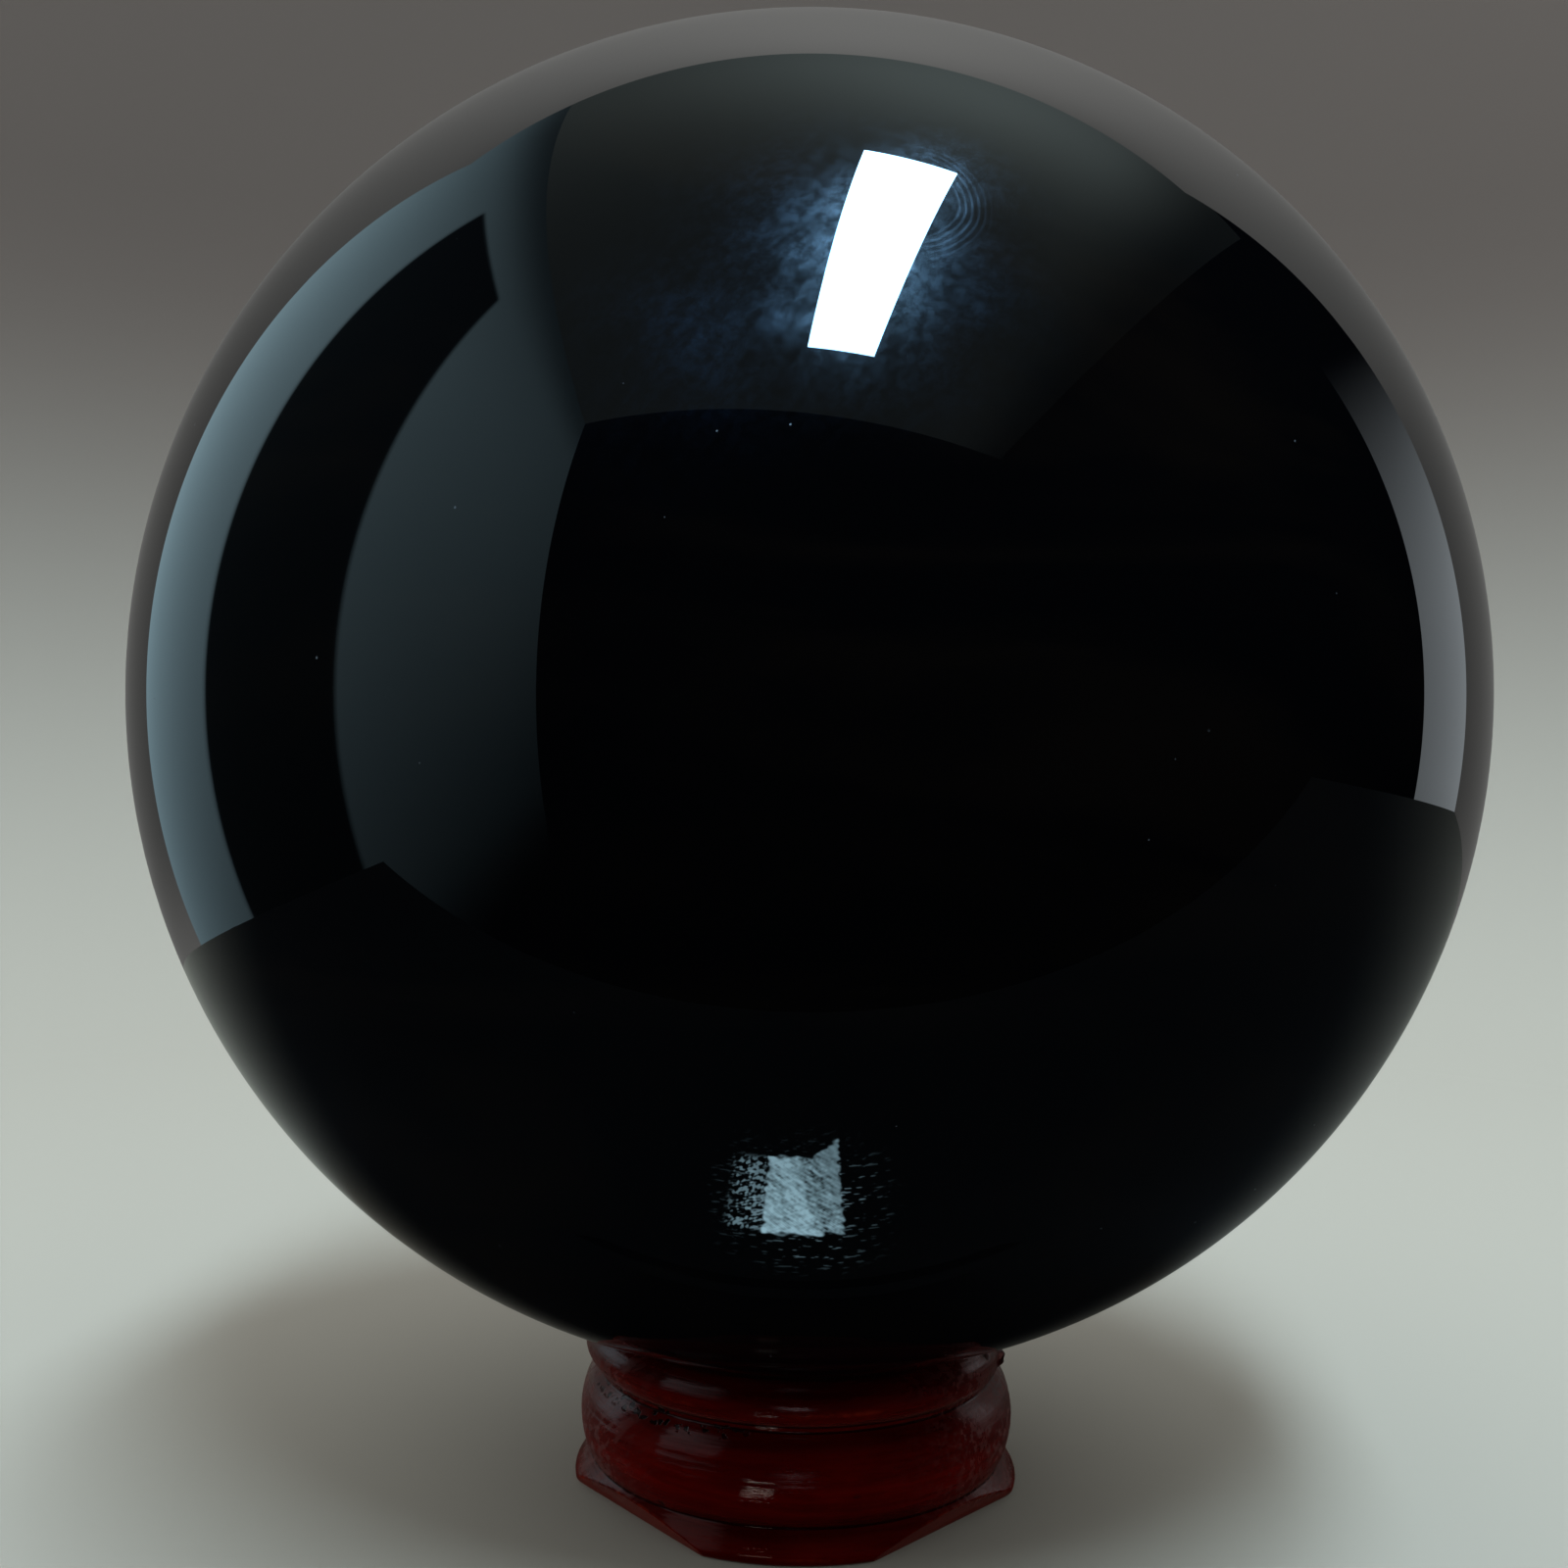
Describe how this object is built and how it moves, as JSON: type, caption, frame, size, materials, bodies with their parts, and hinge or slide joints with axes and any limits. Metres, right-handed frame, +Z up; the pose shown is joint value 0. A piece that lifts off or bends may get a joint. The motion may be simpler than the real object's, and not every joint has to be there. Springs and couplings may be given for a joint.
{
  "type": "polished stone sphere on a stand",
  "caption": "Large polished black obsidian ball resting in a small turned red lacquered wooden ring stand with flats planed under its foot.",
  "frame": {"origin": "middle of the stand's flat underside, on the surface it stands on", "axes": "+Z up through the stand and the middle of the ball, -Y towards the viewer, +X to the viewer's right"},
  "size_m": [0.2, 0.2, 0.2205],
  "materials": {
    "polished_obsidian": "polished",
    "red_lacquered_wood": "gloss"
  },
  "bodies": {
    "root": {"obsidian_sphere": "polished_obsidian", "wooden_stand": "red_lacquered_wood"}
  },
  "joints": []
}
